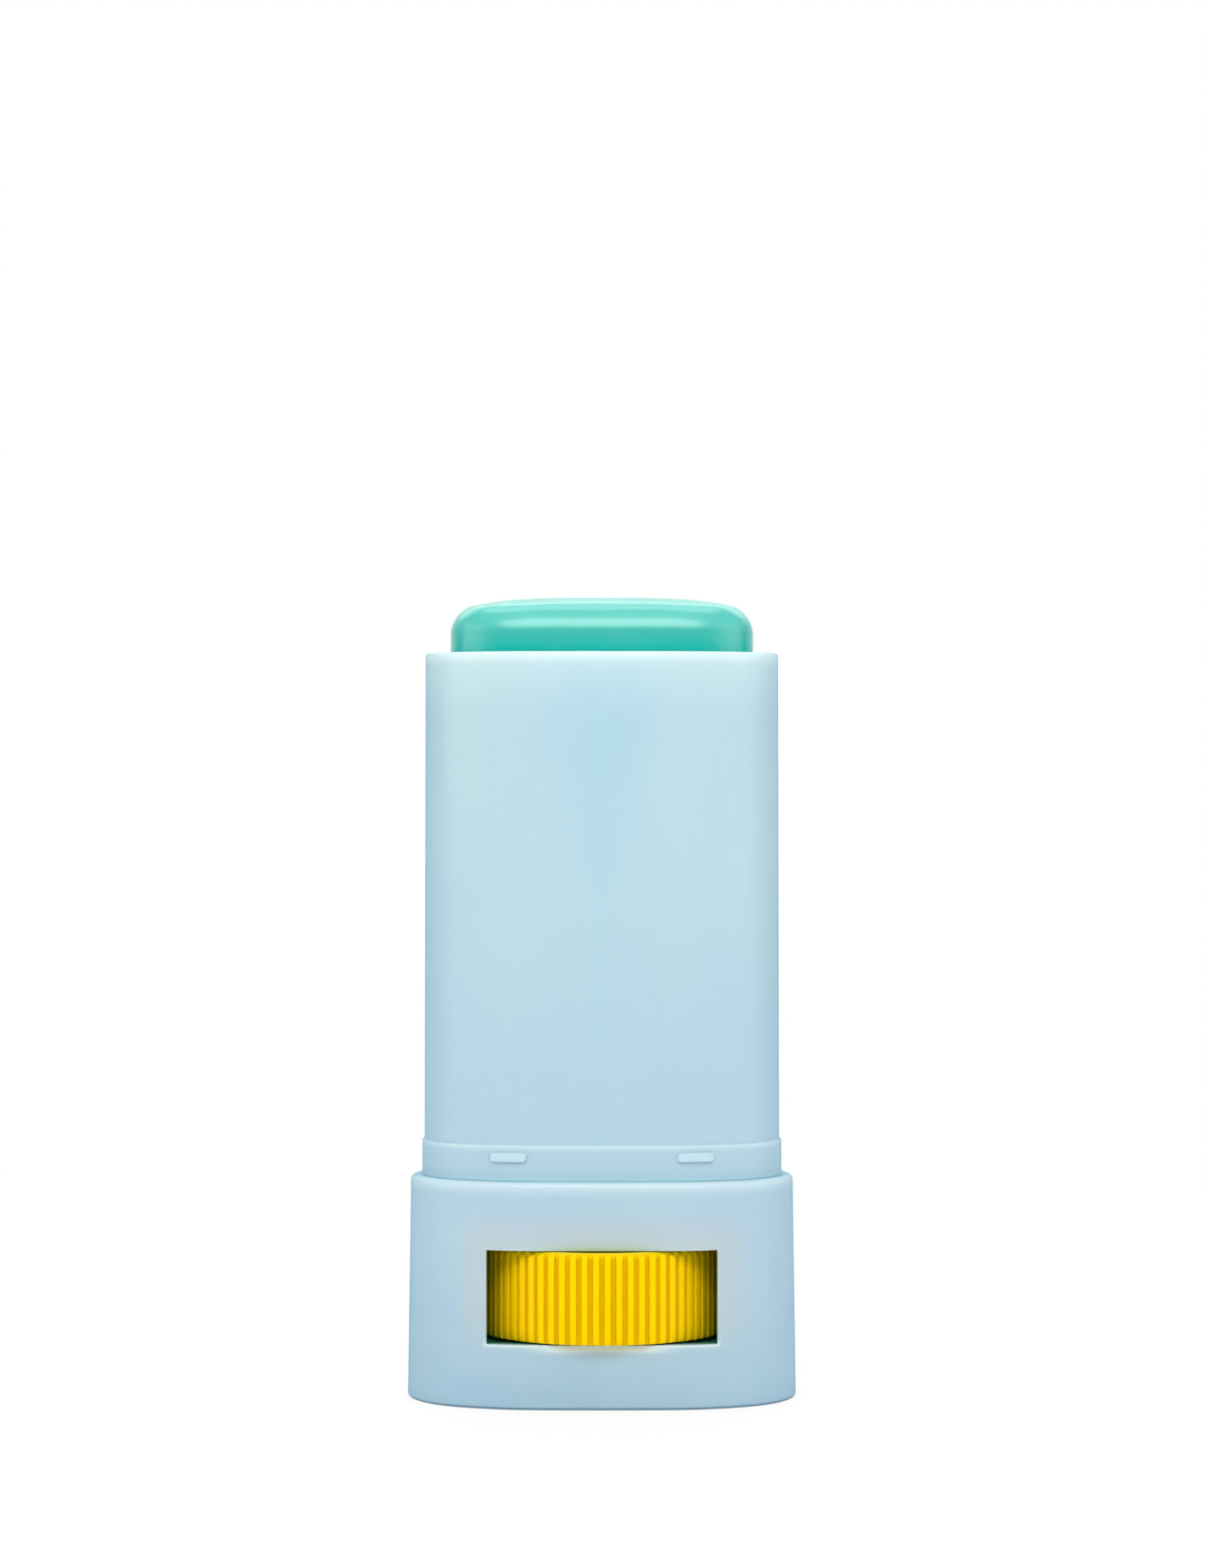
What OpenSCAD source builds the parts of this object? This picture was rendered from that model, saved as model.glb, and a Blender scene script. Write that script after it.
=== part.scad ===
// Twist-up stick with an oval barrel, a thumb wheel in the base and a domed balm.
// Millimetres, +Z up. The origin is the middle of the foot, on the table, and -Y is the front.

/* [Oval section] */
// Width of the base at the table
base_w = 38.8; // [36:0.1:42]
// Depth of the base at the table
base_d = 21.3; // [20:0.1:23]
// Radius of the two ends of the oval
end_r = 9.5; // [8.6:0.1:9.9]
// Radius of the four corners, between an end and a face
corner_r = 18.6; // [15:0.1:22]
// Radius of the almost flat front and back
face_r = 195; // [120:1:300]

/* [Base] */
// Height of the base, up to its shoulder
base_h = 22.2; // [20:0.1:26]
// How much each side of the base leans in, from the foot to the shoulder
base_draft = 0.3; // [0:0.05:0.5]
// Wall of the base at the foot
base_wall = 1.9; // [1.5:0.05:2.2]
// Edge radius of the foot
foot_r = 0.4; // [0.2:0.05:0.8]
// Edge radius of the shoulder
shoulder_r = 0.6; // [0.3:0.05:0.9]
// Wall around the hollow under the floor
recess_wall = 2.1; // [1.6:0.05:3]
// Thickness of the floor under the wheel
floor_t = 1.4; // [1:0.1:2]

/* [Window] */
// Width of the window on the front and on the back
window_w = 22.6; // [18:0.1:24]
// Height of the window
window_h = 9.17; // [8.5:0.01:10]
// Height of the window's sill above the table
window_z = 6.35; // [5:0.05:7]
// How far the floor lies below the sill
floor_drop = 0.25; // [0.15:0.05:0.6]

/* [Thumb wheel] */
// How far the wheel stands out of the front and the back
wheel_proud = 1.5; // [1:0.1:2]
// Gap between the wheel and the sill
wheel_gap = 0.15; // [0.1:0.01:0.3]
// Gap between the wheel and the head of the window
wheel_head_gap = 0.22; // [0.1:0.01:0.4]
// Number of ribs around the wheel
rib_count = 66; // [48:2:80]
// Depth of the grooves between the ribs
groove_d = 0.35; // [0.2:0.05:0.5]
// Bevel of the wheel's top edge
wheel_bevel = 0.6; // [0.4:0.05:0.9]
// Bevel of the wheel's bottom edge
wheel_low_bevel = 0.2; // [0.1:0.05:0.4]
// Wall of the wheel's rim, inside the grooves
rim_wall = 1.25; // [1:0.05:1.8]
// Thickness of the wheel's top disc
disc_t = 1.4; // [1:0.1:2]
// Diameter of the wheel's hub
hub_d = 9.2; // [8:0.1:11]
// Thickness of the web in the hub, between the pin's bore and the shank's socket
hub_web = 0.4; // [0.3:0.05:0.6]
// Number of spokes under the disc
spoke_count = 6; // [3:1:8]
// Thickness of a spoke
spoke_t = 1.0; // [0.8:0.1:1.4]

/* [Spindle] */
// Diameter of the spindle over its thread
spindle_d = 5.0; // [4:0.1:5.6]
// How far the spindle's tip lies below the rim of the barrel
spindle_below_rim = 3.6; // [2:0.1:8]
// Bevel of the spindle's tip
tip_bevel = 0.8; // [0.3:0.1:1.2]
// Diameter of the spindle's neck in the web of the barrel
neck_d = 6.0; // [5.8:0.1:7]
// Diameter of the flange that holds the spindle down
flange_d = 8.8; // [7.6:0.1:10]
// Thickness of the flange
flange_t = 1.1; // [0.8:0.1:1.5]
// Width of the square shank that drives the spindle
shank_w = 4.0; // [3.4:0.1:4.6]
// Length of the square shank
shank_h = 3.6; // [2.5:0.1:3.9]

/* [Pivot in the base] */
// Diameter of the pin that the wheel turns on
pin_d = 6.0; // [5:0.1:7]
// Gap between the pin's top and the end of its bore
pin_end_gap = 0.15; // [0.1:0.05:1]
// Bevel of the pin's top
pin_bevel = 0.4; // [0.2:0.1:0.8]

/* [Barrel] */
// Height of the barrel above the shoulder
barrel_h = 51.95; // [44:0.05:60]
// How far the barrel's side lies inside the foot's outline, just above the collar
barrel_inset = 1.66; // [1.55:0.01:1.8]
// How much each side of the barrel leans in, from the collar to the rim
barrel_draft = 0.1; // [0:0.01:0.2]
// Edge radius of the rim
rim_r = 0.3; // [0.1:0.05:0.5]
// Wall of the barrel at the rim
barrel_wall = 2.2; // [1.6:0.05:2.5]
// Thickness of the web that closes the barrel below
web_t = 1.6; // [1.2:0.1:2.2]
// Height of the collar that the cap fits on
collar_h = 3.5; // [3:0.1:5]
// How far the collar stands out of the barrel
collar_step = 0.22; // [0.15:0.01:0.3]
// Edge radius of the collar
collar_r = 0.15; // [0.05:0.05:0.2]
// How far the snap bead stands out of the plug
bead_proud = 0.25; // [0.15:0.05:0.35]
// Height of the snap bead
bead_h = 0.9; // [0.6:0.1:1.2]
// How far the snap bead lies below the shoulder
bead_below = 2.2; // [1.8:0.1:3]

/* [Cap lugs] */
// Width of a lug
lug_w = 3.55; // [2.5:0.05:4.5]
// Height of a lug
lug_h = 0.93; // [0.7:0.01:1.3]
// How far a lug stands out of the collar
lug_proud = 0.3; // [0.2:0.05:0.4]
// Corner radius of a lug
lug_r = 0.3; // [0.1:0.05:0.34]
// Distance of a lug's middle from the middle of the face
lug_x = 9.2; // [7:0.1:11]
// How far a lug's top lies below the collar's top
lug_below = 0.7; // [0.5:0.1:1.5]

/* [Carrier] */
// Diameter of the nut in the middle of the carrier
nut_d = 9.0; // [8:0.1:10]
// Height of the nut
nut_h = 8.0; // [6:0.5:10]
// Thickness of the carrier's plate
plate_t = 1.4; // [1:0.1:2]
// Height of the cup's wall, from the underside of the plate
cup_h = 5.6; // [4:0.1:7]
// Wall of the cup
cup_wall = 0.9; // [0.7:0.05:1.2]
// How far the carrier can still go down from where it is
lift_down = 6.0; // [3:0.5:12]

/* [Balm] */
// How far the straight side of the balm stands above the rim
balm_show = 1.95; // [0.5:0.05:4]
// Edge radius of the dome
dome_r = 2.2; // [1.5:0.1:3]
// Rise of the dome inside its rounded edge
crown_h = 1.5; // [0.5:0.1:2.5]
// Diameter of the channel that the spindle leaves in the balm
channel_d = 5.8; // [5.7:0.1:7]

/* [Clearances] */
// Gap between the balm or the carrier and the barrel
slide_gap = 0.3; // [0.2:0.05:0.4]
// Gap all around a pin, neck or thread in its bore
run_gap = 0.05; // [0.02:0.01:0.08]
// Gap all around pieces that are pushed into each other
push_gap = 0.05; // [0.02:0.01:0.1]
// Gap at the end of a turning piece
end_gap = 0.1; // [0.05:0.01:0.2]

/* [Hidden] */
$fn = 48;

cut = 1; // how far a cutter reaches past what it cuts
end_steps = 9; // straight pieces in each half of an end arc
corner_steps = 5; // straight pieces in a corner arc
face_steps = 2; // straight pieces in each half of a face arc
edge_steps = 4; // straight pieces in a rounded edge
crown_steps = 6; // rings on the dome inside its rounded edge
crown_power = 1.5; // how soon the dome levels out, 1 is a roof

// The three centres of the oval's arcs in one quarter, and the angles where the arcs meet
end_c = [base_w / 2 - end_r, 0];
face_c = [0, base_d / 2 - face_r];
centre_gap = norm(end_c - face_c);
to_end = (end_c - face_c) / centre_gap;
face_reach = face_r - corner_r;
end_reach = corner_r - end_r;
along = (face_reach ^ 2 - end_reach ^ 2 + centre_gap ^ 2) / (2 * centre_gap);
aside = sqrt(face_reach ^ 2 - along ^ 2);
corner_c = face_c + along * to_end + aside * [-to_end.y, to_end.x];
end_a = atan2(end_c.y - corner_c.y, end_c.x - corner_c.x);
corner_a = atan2(corner_c.y - face_c.y, corner_c.x - face_c.x);

// Heights, from the table up
floor_z = window_z - floor_drop;
wheel_z = window_z + wheel_gap;
wheel_h = window_h - wheel_gap - wheel_head_gap;
wheel_top = wheel_z + wheel_h;
seat_z = wheel_z - end_gap;
web_z = wheel_top + flange_t + end_gap;
bore_z = web_z + web_t;
rim_z = base_h + barrel_h;
collar_top = base_h + collar_h;
carrier_z = bore_z + slide_gap + lift_down;
spindle_top = rim_z - spindle_below_rim;
channel_top = spindle_top + lift_down + slide_gap;
balm_side_z = rim_z + balm_show;

// Insets from the foot's outline
collar_inset = barrel_inset - collar_step;
rim_inset = barrel_inset + barrel_draft;
plug_inset = base_wall + push_gap;
bore_inset = rim_inset + barrel_wall;
balm_inset = bore_inset + slide_gap;
cup_inset = balm_inset + cup_wall;

// The wheel
window_mid = window_z + window_h / 2;
wheel_r = base_d / 2 - base_draft * window_mid / base_h + wheel_proud;
groove_w = PI * wheel_r / rib_count;
rim_in_r = wheel_r - groove_d - rim_wall;
socket_w = shank_w + 2 * push_gap;
pin_bore_top = wheel_top - shank_h - end_gap - hub_web;
pin_top = pin_bore_top - pin_end_gap;

// Points on an arc, without its last one
function arc(c, r, a0, a1, n) = [
    for (i = [0:n - 1]) let (a = a0 + (a1 - a0) * i / n) c + r * [cos(a), sin(a)]
];

// One quarter of the oval, from the end towards the middle of the face
function quarter(t) = concat(
    arc(end_c, end_r - t, 0, end_a, end_steps),
    arc(corner_c, corner_r - t, end_a, corner_a, corner_steps),
    arc(face_c, face_r - t, corner_a, 90, face_steps)
);

// The back half of the oval, and then the whole, at an inset t from the foot's outline
function back_half(t) = let (q = quarter(t)) concat(
    q, [[0, base_d / 2 - t]], [for (i = [len(q) - 1:-1:1]) [-q[i].x, q[i].y]]
);
function oval(t) = concat(back_half(t), -back_half(t));

// Sections of a rounded edge: z is the height of the arc's centre, t the inset at its widest
function edge(z, t, r, a0, a1) = [
    for (i = [0:edge_steps]) let (a = a0 + (a1 - a0) * i / edge_steps)
        [z + r * sin(a), oval(t + r * (1 - cos(a)))]
];

// Height of the dome above the straight side, at a distance s inside it
function dome(s) = (s < dome_r ? sqrt(dome_r ^ 2 - (dome_r - s) ^ 2) : dome_r)
    + crown_h * (1 - (1 - s / balm_half_d) ^ crown_power);
balm_half_w = base_w / 2 - balm_inset;
balm_half_d = base_d / 2 - balm_inset;
dome_s = concat(
    [for (i = [0:edge_steps]) dome_r * (1 - cos(90 * i / edge_steps))],
    [for (i = [1:crown_steps - 1]) dome_r + (balm_half_d - dome_r) * i / crown_steps]
);

// A closed skin over a stack of sections, each one [height, outline]
module skin(sections) {
    n = len(sections[0][1]);
    last = len(sections) - 1;
    polyhedron(
        points = [for (s = sections) for (p = s[1]) [p.x, p.y, s[0]]],
        faces = concat(
            [[for (i = [0:n - 1]) i]],
            [for (k = [0:last - 1]) for (i = [0:n - 1])
                [k * n + i, (k + 1) * n + i, (k + 1) * n + (i + 1) % n, k * n + (i + 1) % n]],
            [[for (i = [n - 1:-1:0]) last * n + i]]
        )
    );
}

// An upright prism of the oval
module oval_block(z0, z1, t) {
    translate([0, 0, z0]) linear_extrude(z1 - z0) polygon(oval(t));
}

// A rectangle with round corners, about its middle
module soft_rectangle(w, h, r) {
    square([w - 2 * r, h], center = true);
    square([w, h - 2 * r], center = true);
    for (x = [-1, 1], y = [-1, 1]) translate([x * (w / 2 - r), y * (h / 2 - r)]) circle(r);
}

// The two windows, front and back, cut as one opening
module window_cut() {
    translate([-window_w / 2, -base_d / 2 - cut, window_z])
        cube([window_w, base_d + 2 * cut, window_h]);
}

// Pin and seat ring that the wheel turns on
module pivot() {
    rotate_extrude() polygon([
        [0, floor_z - floor_t / 2], [hub_d / 2, floor_z - floor_t / 2], [hub_d / 2, seat_z],
        [pin_d / 2, seat_z], [pin_d / 2, pin_top - pin_bevel],
        [pin_d / 2 - pin_bevel, pin_top], [0, pin_top]
    ]);
}

module base() color([0.70, 0.82, 0.89]) {
    difference() {
        skin(concat(
            edge(foot_r, 0, foot_r, -90, 0),
            edge(base_h - shoulder_r, base_draft, shoulder_r, 0, 90)
        ));
        oval_block(floor_z, base_h + cut, base_wall);
        oval_block(-cut, floor_z - floor_t, recess_wall);
        oval_block(
            base_h - bead_below - bead_h - push_gap, base_h - bead_below + push_gap, base_wall - bead_proud
        );
        window_cut();
    }
    pivot();
}

// The four lugs, as two bars through the barrel that stop in front of the collar
module lugs() {
    intersection() {
        oval_block(base_h, collar_top, collar_inset - lug_proud);
        for (x = [-lug_x, lug_x]) translate([x, 0, collar_top - lug_below - lug_h / 2])
            rotate([90, 0, 0]) linear_extrude(base_d, center = true)
                soft_rectangle(lug_w, lug_h, lug_r);
    }
}

module barrel() color([0.72, 0.86, 0.92]) difference() {
    union() {
        skin(concat(
            [[base_h, oval(collar_inset)]],
            edge(collar_top - collar_r, collar_inset, collar_r, 0, 90),
            [[collar_top, oval(barrel_inset)]],
            edge(rim_z - rim_r, rim_inset, rim_r, 0, 90)
        ));
        oval_block(web_z, collar_top, plug_inset);
        oval_block(base_h - bead_below - bead_h, base_h - bead_below, plug_inset - bead_proud);
        lugs();
    }
    oval_block(bore_z, rim_z + cut, bore_inset);
    translate([0, 0, web_z - cut]) cylinder(d = neck_d + 2 * run_gap, h = web_t + 2 * cut);
}

// One groove of the wheel, at its place on the right
module groove() {
    translate([wheel_r - groove_d, -groove_w / 2, wheel_z - cut])
        cube([groove_d + cut, groove_w, wheel_h + 2 * cut]);
}

// The wheel without its grooves, turned
module wheel_blank() {
    rotate_extrude() polygon([
        [pin_d / 2 + run_gap, wheel_z], [hub_d / 2, wheel_z], [hub_d / 2, wheel_top - disc_t],
        [rim_in_r, wheel_top - disc_t], [rim_in_r, wheel_z], [wheel_r - wheel_low_bevel, wheel_z],
        [wheel_r, wheel_z + wheel_low_bevel], [wheel_r, wheel_top - wheel_bevel],
        [wheel_r - wheel_bevel, wheel_top], [0, wheel_top], [0, pin_bore_top],
        [pin_d / 2 + run_gap, pin_bore_top]
    ]);
}

// Spokes under the disc, from the hub to the rim
module spokes() {
    for (i = [0:spoke_count - 1]) rotate(360 / spoke_count * (i + 0.5))
        translate([hub_d / 2 - spoke_t / 2, -spoke_t / 2, wheel_z + rim_wall])
            cube([rim_in_r - hub_d / 2 + spoke_t, spoke_t, wheel_h - rim_wall - disc_t / 2]);
}

module thumb_wheel() color([1.0, 0.84, 0.02]) difference() {
    union() {
        wheel_blank();
        spokes();
    }
    // a groove faces the front
    for (i = [0:rib_count - 1]) rotate(-90 + 360 / rib_count * i) groove();
    // the square socket for the shank
    translate([-socket_w / 2, -socket_w / 2, wheel_top - shank_h - end_gap])
        cube([socket_w, socket_w, shank_h + end_gap + cut]);
}

module spindle() color([0.93, 0.94, 0.93]) {
    rotate_extrude() polygon([
        [0, wheel_top], [flange_d / 2, wheel_top], [flange_d / 2, wheel_top + flange_t],
        [neck_d / 2, wheel_top + flange_t], [neck_d / 2, bore_z], [spindle_d / 2, bore_z],
        [spindle_d / 2, spindle_top - tip_bevel], [spindle_d / 2 - tip_bevel, spindle_top], [0, spindle_top]
    ]);
    translate([-shank_w / 2, -shank_w / 2, wheel_top - shank_h])
        cube([shank_w, shank_w, shank_h + flange_t / 2]);
}

module carrier() color([0.88, 0.90, 0.90]) difference() {
    union() {
        difference() {
            oval_block(carrier_z, carrier_z + cup_h, balm_inset);
            oval_block(carrier_z + plate_t, carrier_z + cup_h + cut, cup_inset);
        }
        translate([0, 0, carrier_z]) cylinder(d = nut_d, h = nut_h);
    }
    translate([0, 0, carrier_z - cut]) cylinder(d = spindle_d + 2 * run_gap, h = nut_h + 2 * cut);
}

// The section of the balm, drawn in by s on every side
function balm_section(s) = [
    for (p = oval(balm_inset)) [p.x * (1 - s / balm_half_w), p.y * (1 - s / balm_half_d)]
];

module balm() color([0.30, 0.82, 0.76]) difference() {
    union() {
        skin(concat(
            [[carrier_z + cup_h, oval(balm_inset)]],
            [for (s = dome_s) [balm_side_z + dome(s), balm_section(s)]]
        ));
        oval_block(carrier_z + plate_t, carrier_z + cup_h + cut, cup_inset);
    }
    translate([0, 0, carrier_z]) cylinder(d = nut_d, h = nut_h);
    translate([0, 0, carrier_z]) cylinder(d = channel_d, h = channel_top - carrier_z);
}

base();
barrel();
thumb_wheel();
spindle();
carrier();
balm();
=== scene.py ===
"""The looks of a twist-up sunscreen stick: moulded shells, a ribbed wheel, a cut thread and a cast balm.

Every visible piece is a closed surface on one grid: its columns run once around the upright axis, and its
rows are rings of an outline at a height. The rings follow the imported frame's boxes and the sizes below.
"""
import math
from types import SimpleNamespace

import bpy
import numpy as np
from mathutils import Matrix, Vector


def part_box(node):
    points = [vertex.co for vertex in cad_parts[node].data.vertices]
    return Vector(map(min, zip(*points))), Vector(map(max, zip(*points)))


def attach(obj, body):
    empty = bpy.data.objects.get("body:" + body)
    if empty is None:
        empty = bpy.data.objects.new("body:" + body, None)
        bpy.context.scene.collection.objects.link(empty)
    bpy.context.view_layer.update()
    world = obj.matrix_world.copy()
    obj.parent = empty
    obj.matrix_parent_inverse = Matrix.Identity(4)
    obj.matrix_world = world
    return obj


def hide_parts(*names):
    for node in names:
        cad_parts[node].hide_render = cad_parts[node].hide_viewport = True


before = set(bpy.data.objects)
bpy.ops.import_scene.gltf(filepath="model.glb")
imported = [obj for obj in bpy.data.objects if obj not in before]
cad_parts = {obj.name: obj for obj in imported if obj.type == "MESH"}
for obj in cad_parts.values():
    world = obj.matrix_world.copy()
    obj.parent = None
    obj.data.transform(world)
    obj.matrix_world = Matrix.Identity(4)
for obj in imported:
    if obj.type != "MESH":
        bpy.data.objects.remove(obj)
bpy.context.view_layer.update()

bl_info = {
    "name": "Twist-up stick",
    "version": (1, 0, 0),
    "blender": (4, 5, 0),
    "location": "3D View > Sidebar > Stick",
    "description": "Dresses the frame of an oval twist-up stick",
    "category": "Object",
}

MM = 0.001
TURN = 2 * math.pi
HAIR = 1e-9
PHOTO_W, PHOTO_H = 1270, 1652
boxes = {name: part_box(name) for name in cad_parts}


def length(name, description, default):
    """A length of the stick, in metres."""
    return bpy.props.FloatProperty(
        name=name, description=description, default=default, min=0, unit="LENGTH", precision=5
    )


def colour(name, description, default):
    """A colour as an sRGB hex value."""
    return bpy.props.StringProperty(name=name, description=description, default=default)


class StickSizes(bpy.types.PropertyGroup):
    """Sizes that the frame's boxes don't give."""

    end_r: length("End radius", "Radius of the oval's two ends, at the foot", 9.5 * MM)
    corner_r: length("Corner radius", "Radius between an end and a face, at the foot", 18.6 * MM)
    face_r: length("Face radius", "Radius of the almost flat front and back", 195 * MM)
    base_draft: length("Base draft", "How much each side of the base leans in", 0.3 * MM)
    base_wall: length("Base wall", "Wall of the base at the foot", 1.9 * MM)
    foot_r: length("Foot edge", "Edge radius of the foot", 0.4 * MM)
    shoulder_r: length("Shoulder edge", "Edge radius of the shoulder", 0.6 * MM)
    recess_wall: length("Foot rim", "Wall around the hollow underneath", 2.1 * MM)
    floor_t: length("Floor", "Thickness of the floor under the wheel", 1.4 * MM)
    floor_drop: length("Floor drop", "How far the floor lies below the sill", 0.25 * MM)
    window_w: length("Window width", "Width of the window", 22.6 * MM)
    wheel_gap: length("Sill gap", "Gap between the wheel and the window's sill", 0.15 * MM)
    wheel_head_gap: length("Head gap", "Gap between the wheel and the window's head", 0.22 * MM)
    groove_d: length("Groove", "Depth of the grooves around the wheel", 0.35 * MM)
    wheel_crest: length("Wheel crest", "Soft crest of the rim over the wheel's flat top", 0.16 * MM)
    wheel_bevel: length("Wheel top edge", "Bevel of the wheel's top edge", 0.76 * MM)
    wheel_low_bevel: length("Wheel low edge", "Bevel of the wheel's bottom edge", 0.2 * MM)
    rim_wall: length("Wheel rim", "Wall of the wheel's rim", 1.25 * MM)
    disc_t: length("Wheel disc", "Thickness of the wheel's disc", 1.4 * MM)
    hub_d: length("Hub", "Diameter of the wheel's hub", 9.2 * MM)
    hub_web: length("Hub web", "Web between the pin's bore and the socket", 0.4 * MM)
    spoke_t: length("Spoke", "Thickness of a spoke", 1.0 * MM)
    pin_d: length("Pin", "Diameter of the wheel's pin", 6.0 * MM)
    pin_bevel: length("Pin bevel", "Bevel of the pin's top", 0.4 * MM)
    shank_w: length("Shank", "Width of the spindle's square shank", 4.0 * MM)
    shank_h: length("Shank length", "Length of the square shank", 3.6 * MM)
    flange_t: length("Flange", "Thickness of the spindle's flange", 1.1 * MM)
    neck_d: length("Neck", "Diameter of the spindle's neck", 6.0 * MM)
    spindle_d: length("Thread", "Outer diameter of the thread", 5.0 * MM)
    core_d: length("Thread core", "Core diameter of the thread", 3.8 * MM)
    pitch: length("Pitch", "Pitch of the thread", 3.0 * MM)
    web_t: length("Web", "Thickness of the web under the barrel", 1.6 * MM)
    barrel_wall: length("Barrel wall", "Wall of the barrel at the rim", 2.2 * MM)
    barrel_draft: length("Barrel draft", "How much the barrel leans in up to the rim", 0.1 * MM)
    rim_r: length("Rim edge", "Edge radius of the rim", 0.3 * MM)
    collar_h: length("Collar", "Height of the collar", 3.5 * MM)
    collar_step: length("Collar step", "How far the collar stands out", 0.22 * MM)
    collar_r: length("Collar edge", "Edge radius of the collar", 0.15 * MM)
    bead_proud: length("Snap bead", "How far the snap bead stands out", 0.25 * MM)
    bead_h: length("Bead height", "Height of the snap bead", 0.9 * MM)
    bead_below: length("Bead place", "How far the bead lies below the shoulder", 2.2 * MM)
    lug_w: length("Lug width", "Width of a cap lug", 3.55 * MM)
    lug_h: length("Lug height", "Height of a cap lug", 0.93 * MM)
    lug_proud: length("Lug", "How far a cap lug stands out", 0.3 * MM)
    lug_r: length("Lug corner", "Corner radius of a cap lug", 0.3 * MM)
    lug_x: length("Lug place", "Distance of a lug from the face's middle", 9.2 * MM)
    lug_below: length("Lug drop", "How far a lug's top lies below the collar's top", 0.7 * MM)
    plate_t: length("Plate", "Thickness of the carrier's plate", 1.4 * MM)
    cup_h: length("Cup", "Height of the carrier's cup", 5.6 * MM)
    cup_wall: length("Cup wall", "Wall of the carrier's cup", 0.9 * MM)
    nut_d: length("Nut", "Diameter of the carrier's nut", 9.0 * MM)
    balm_show: length("Balm shown", "Straight side of the balm above the rim", 1.95 * MM)
    dome_r: length("Dome edge", "Edge radius of the dome", 2.2 * MM)
    channel_d: length("Channel", "Diameter of the channel in the balm", 5.8 * MM)
    slide_gap: length("Slide gap", "Gap between the balm and the barrel", 0.3 * MM)
    run_gap: length("Running gap", "Gap around a pin in its bore", 0.05 * MM)
    push_gap: length("Push gap", "Gap around pieces that are pushed together", 0.05 * MM)
    end_gap: length("End gap", "Gap at the end of a turning piece", 0.1 * MM)
    pin_end_gap: length("Pin end gap", "Gap above the pin", 0.15 * MM)
    lift_down: length("Way down", "How far the balm can still go down", 6.0 * MM)
    crown_ends: bpy.props.FloatProperty(
        name="Crown, ends", description="Power of the crown towards the ends: a high one is flat",
        default=3.6, min=1,
    )
    crown_faces: bpy.props.FloatProperty(
        name="Crown, faces", description="Power of the crown towards the faces", default=2.0, min=1,
    )
    rib_count: bpy.props.IntProperty(name="Ribs", description="Ribs around the wheel", default=66, min=12)
    spoke_count: bpy.props.IntProperty(name="Spokes", description="Spokes of the wheel", default=6, min=3)


class StickColours(bpy.types.PropertyGroup):
    """Colours of the finishes, as sRGB hex values."""

    shell: colour("Base", "Pale blue of the base", "B3CAD9")
    shell_low: colour("Base, low", "The same plastic near the foot", "A8C4D5")
    barrel: colour("Barrel", "Pale blue of the barrel", "B8D2DC")
    barrel_cyan: colour("Barrel, green cast", "Greener clouds in the plastic", "BCD6D9")
    barrel_lilac: colour("Barrel, lilac cast", "Bluer plastic low on the barrel", "B2CBD9")
    # painted reflection: a bluer wedge down the barrel's middle
    barrel_reflection: colour("Barrel, middle", "Clearer blue down the barrel's middle", "A8CFDF")
    edge: colour("Thin edges", "Light caught in thin edges of the plastic", "E2F1EE")
    seam: colour("Seam", "Light caught where the collar meets the base", "C8F2FF")
    # painted light: the wheel's yellow light coming through the wall greys the blue around the window
    wheel_light_halo: colour("Around the window", "Grey of the wall with the dark wheel bay behind it", "C9CBC4")
    glow: colour("Wheel's glow", "Yellow light that the wheel sends into the wall", "A6D49E")
    sill_glow: colour("Glow on the sill", "Pale light below the wheel", "F0FAEC")
    foot: colour("Foot", "Deep blue of the foot's edge, turned away from the light", "4F86A0")
    # painted shade: deep green in place of the shade inside the wheel bay
    bay: colour("Wheel bay", "Deep green of the bay behind the window", "188370")
    collar_low: colour("Collar, low", "Deeper blue of the collar behind the base", "A0D0E3")
    wheel: colour("Wheel", "Yellow of the wheel", "FCD000")
    wheel_warm: colour("Wheel, warm", "Warmer clouds in the wheel's plastic", "F9C400")
    wheel_top: colour("Wheel top", "Yellow of the wheel's flat top, more matt", "EECC00")
    # painted shade down in the grooves
    groove_shade: colour("Grooves", "Browner yellow down in the grooves", "E2B800")
    natural: colour("Natural plastic", "Milky white of the spindle and the carrier", "E9ECEA")
    natural_grey: colour("Natural plastic, grey", "Greyer flow marks in the natural plastic", "D3DAD8")
    balm: colour("Balm", "Turquoise of the balm", "3EB6AA")
    # painted shade low on the balm
    balm_low_shade: colour("Balm, deep", "Deeper turquoise low on the balm", "06BEB2")
    # painted light over the dome; faint clouds in the wax take the same colour
    balm_lit_and_clouds: colour("Balm, pale", "Paler wax over the dome and in faint clouds", "5CC4B8")


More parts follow.
